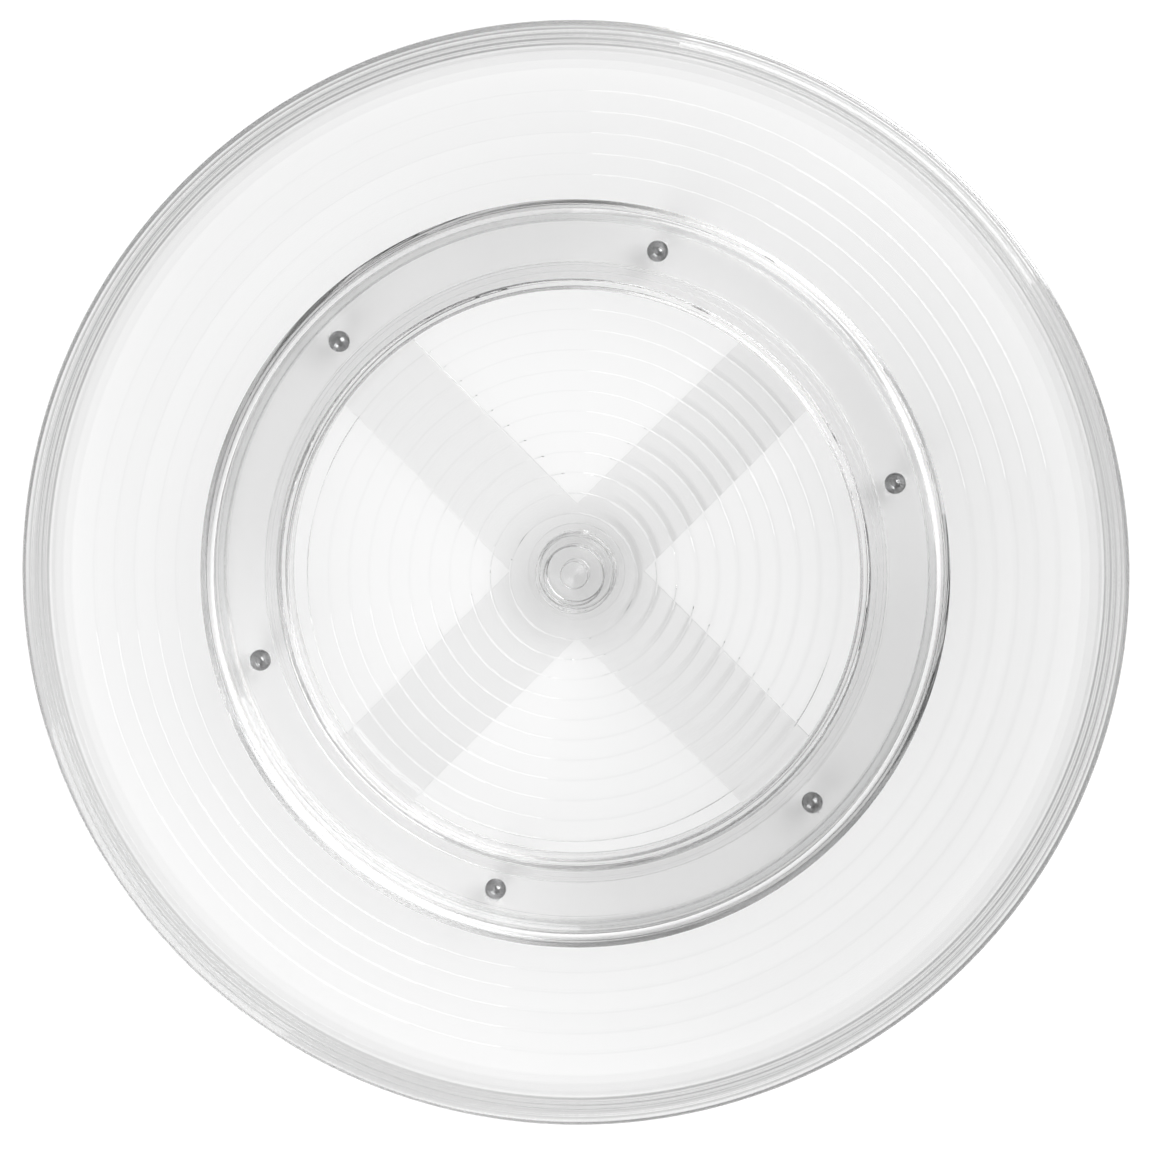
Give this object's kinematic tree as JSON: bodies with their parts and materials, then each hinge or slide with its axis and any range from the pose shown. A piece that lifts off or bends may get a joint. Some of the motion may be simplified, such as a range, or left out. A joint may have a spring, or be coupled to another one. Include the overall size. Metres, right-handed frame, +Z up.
{
  "type": "banding wheel",
  "caption": "Low clear plastic banding wheel: a round tray with a stepped rim and guide rings turns on steel balls over a four-armed base.",
  "frame": {"origin": "middle of the underside, on the table surface that the grip ring stands on", "axes": "+Z up along the axis that the tray turns about; +X between two of the base's arms"},
  "size_m": [0.28, 0.28, 0.0285],
  "materials": {
    "tray_plastic": "clear, polished mould finish",
    "race_plastic": "clear, polished mould finish",
    "base_plastic": "clear, polished mould finish",
    "cage_plastic": "clear, polished mould finish",
    "ball_steel": "polished bearing steel",
    "pin_plastic": "clear, polished mould finish",
    "washer_plastic": "clear, polished mould finish",
    "grip_rubber": "clear soft rubber, satin"
  },
  "bodies": {
    "base": {"base": "base_plastic", "grip_ring": "grip_rubber"},
    "tray": {"tray": "tray_plastic", "upper_race_ring": "race_plastic", "pivot_pin": "pin_plastic", "pivot_washer": "washer_plastic"},
    "cage": {"ball_cage": "cage_plastic"},
    "ball_1": {"ball_1": "ball_steel"},
    "ball_2": {"ball_2": "ball_steel"},
    "ball_3": {"ball_3": "ball_steel"},
    "ball_4": {"ball_4": "ball_steel"},
    "ball_5": {"ball_5": "ball_steel"},
    "ball_6": {"ball_6": "ball_steel"}
  },
  "joints": [
    {"name": "tray_spin", "type": "hinge", "parent": "base", "child": "tray", "pos_m": [0, 0, 0.01], "axis": [0, 0, 1], "continuous": true},
    {"name": "cage_spin", "type": "hinge", "parent": "base", "child": "cage", "pos_m": [0, 0, 0.0066], "axis": [0, 0, 1], "continuous": true},
    {"name": "ball_1_roll", "type": "hinge", "parent": "cage", "child": "ball_1", "pos_m": [0.0816, 0.02309, 0.0066], "axis": [0.9622, 0.2723, 0], "continuous": true},
    {"name": "ball_2_roll", "type": "hinge", "parent": "cage", "child": "ball_2", "pos_m": [0.0208, 0.08221, 0.0066], "axis": [0.2453, 0.9694, 0], "continuous": true},
    {"name": "ball_3_roll", "type": "hinge", "parent": "cage", "child": "ball_3", "pos_m": [-0.06079, 0.05912, 0.0066], "axis": [-0.7169, 0.6972, 0], "continuous": true},
    {"name": "ball_4_roll", "type": "hinge", "parent": "cage", "child": "ball_4", "pos_m": [-0.0816, -0.02309, 0.0066], "axis": [-0.9622, -0.2723, 0], "continuous": true},
    {"name": "ball_5_roll", "type": "hinge", "parent": "cage", "child": "ball_5", "pos_m": [-0.0208, -0.08221, 0.0066], "axis": [-0.2453, -0.9694, 0], "continuous": true},
    {"name": "ball_6_roll", "type": "hinge", "parent": "cage", "child": "ball_6", "pos_m": [0.06079, -0.05912, 0.0066], "axis": [0.7169, -0.6972, 0], "continuous": true}
  ],
  "couplings": [
    {"joint": "cage_spin", "follows": "tray_spin", "ratio": 0.5},
    {"joint": "ball_1_roll", "follows": "tray_spin", "ratio": -15.418},
    {"joint": "ball_2_roll", "follows": "tray_spin", "ratio": -15.418},
    {"joint": "ball_3_roll", "follows": "tray_spin", "ratio": -15.418},
    {"joint": "ball_4_roll", "follows": "tray_spin", "ratio": -15.418},
    {"joint": "ball_5_roll", "follows": "tray_spin", "ratio": -15.418},
    {"joint": "ball_6_roll", "follows": "tray_spin", "ratio": -15.418}
  ]
}
